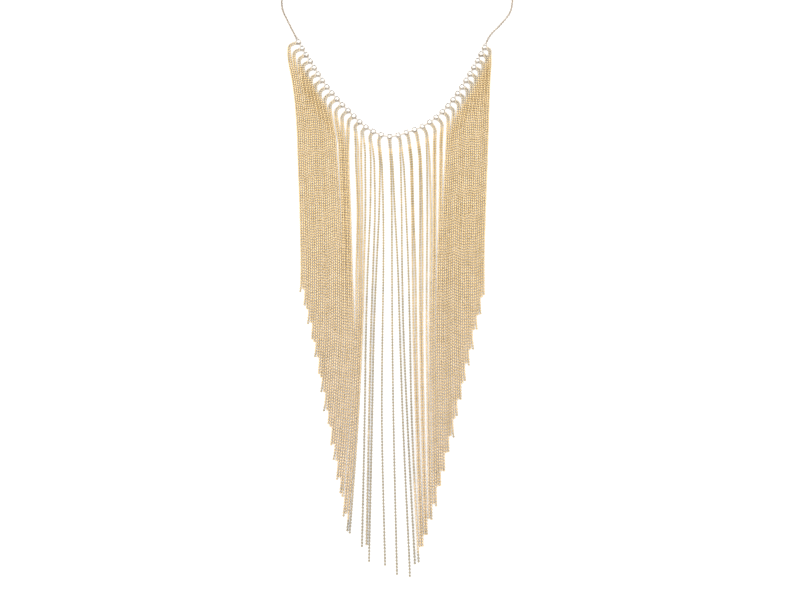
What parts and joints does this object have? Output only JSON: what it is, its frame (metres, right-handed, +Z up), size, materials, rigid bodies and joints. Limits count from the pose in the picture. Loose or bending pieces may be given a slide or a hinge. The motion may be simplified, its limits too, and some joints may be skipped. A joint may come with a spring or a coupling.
{
  "type": "rhinestone necklace",
  "caption": "Gold-tone necklace laid flat: a curved row of clear rhinestones in cups, a fine link chain and clasp behind the neck, and a long tapering fringe of ball chain strands.",
  "frame": {"origin": "on the surface that it lies on, under the middle of its outline", "axes": "+X across the necklace to the right as seen from above, +Y towards the back of the neck, +Z up from the surface"},
  "size_m": [0.1482, 0.405, 0.0023],
  "materials": {
    "crystal": "clear cut glass, polished",
    "cup_metal": "polished pale gold plating",
    "ball_chain_metal": "polished pale gold plating",
    "neck_chain_metal": "polished warm gold plating",
    "clasp_metal": "polished gold plating"
  },
  "bodies": {
    "root": {"cups": "cup_metal", "bars": "cup_metal", "end_ring_left": "cup_metal", "end_ring_right": "cup_metal", "neck_chain_left": "neck_chain_metal", "neck_chain_right": "neck_chain_metal", "clasp": "clasp_metal", "fringe_middle": "ball_chain_metal", "fringe_left_1": "ball_chain_metal", "fringe_left_2": "ball_chain_metal", "fringe_left_3": "ball_chain_metal", "fringe_left_4": "ball_chain_metal", "fringe_left_5": "ball_chain_metal", "fringe_left_6": "ball_chain_metal", "fringe_right_1": "ball_chain_metal", "fringe_right_2": "ball_chain_metal", "fringe_right_3": "ball_chain_metal", "fringe_right_4": "ball_chain_metal", "fringe_right_5": "ball_chain_metal", "fringe_right_6": "ball_chain_metal", "stone_01": "crystal", "stone_02": "crystal", "stone_03": "crystal", "stone_04": "crystal", "stone_05": "crystal", "stone_06": "crystal", "stone_07": "crystal", "stone_08": "crystal", "stone_09": "crystal", "stone_10": "crystal", "stone_11": "crystal", "stone_12": "crystal", "stone_13": "crystal", "stone_14": "crystal", "stone_15": "crystal", "stone_16": "crystal", "stone_17": "crystal", "stone_18": "crystal", "stone_19": "crystal", "stone_20": "crystal", "stone_21": "crystal", "stone_22": "crystal", "stone_23": "crystal", "stone_24": "crystal", "stone_25": "crystal", "stone_26": "crystal", "stone_27": "crystal", "stone_28": "crystal", "stone_29": "crystal", "stone_30": "crystal", "stone_31": "crystal", "stone_32": "crystal", "stone_33": "crystal", "stone_34": "crystal", "stone_35": "crystal"}
  },
  "joints": []
}
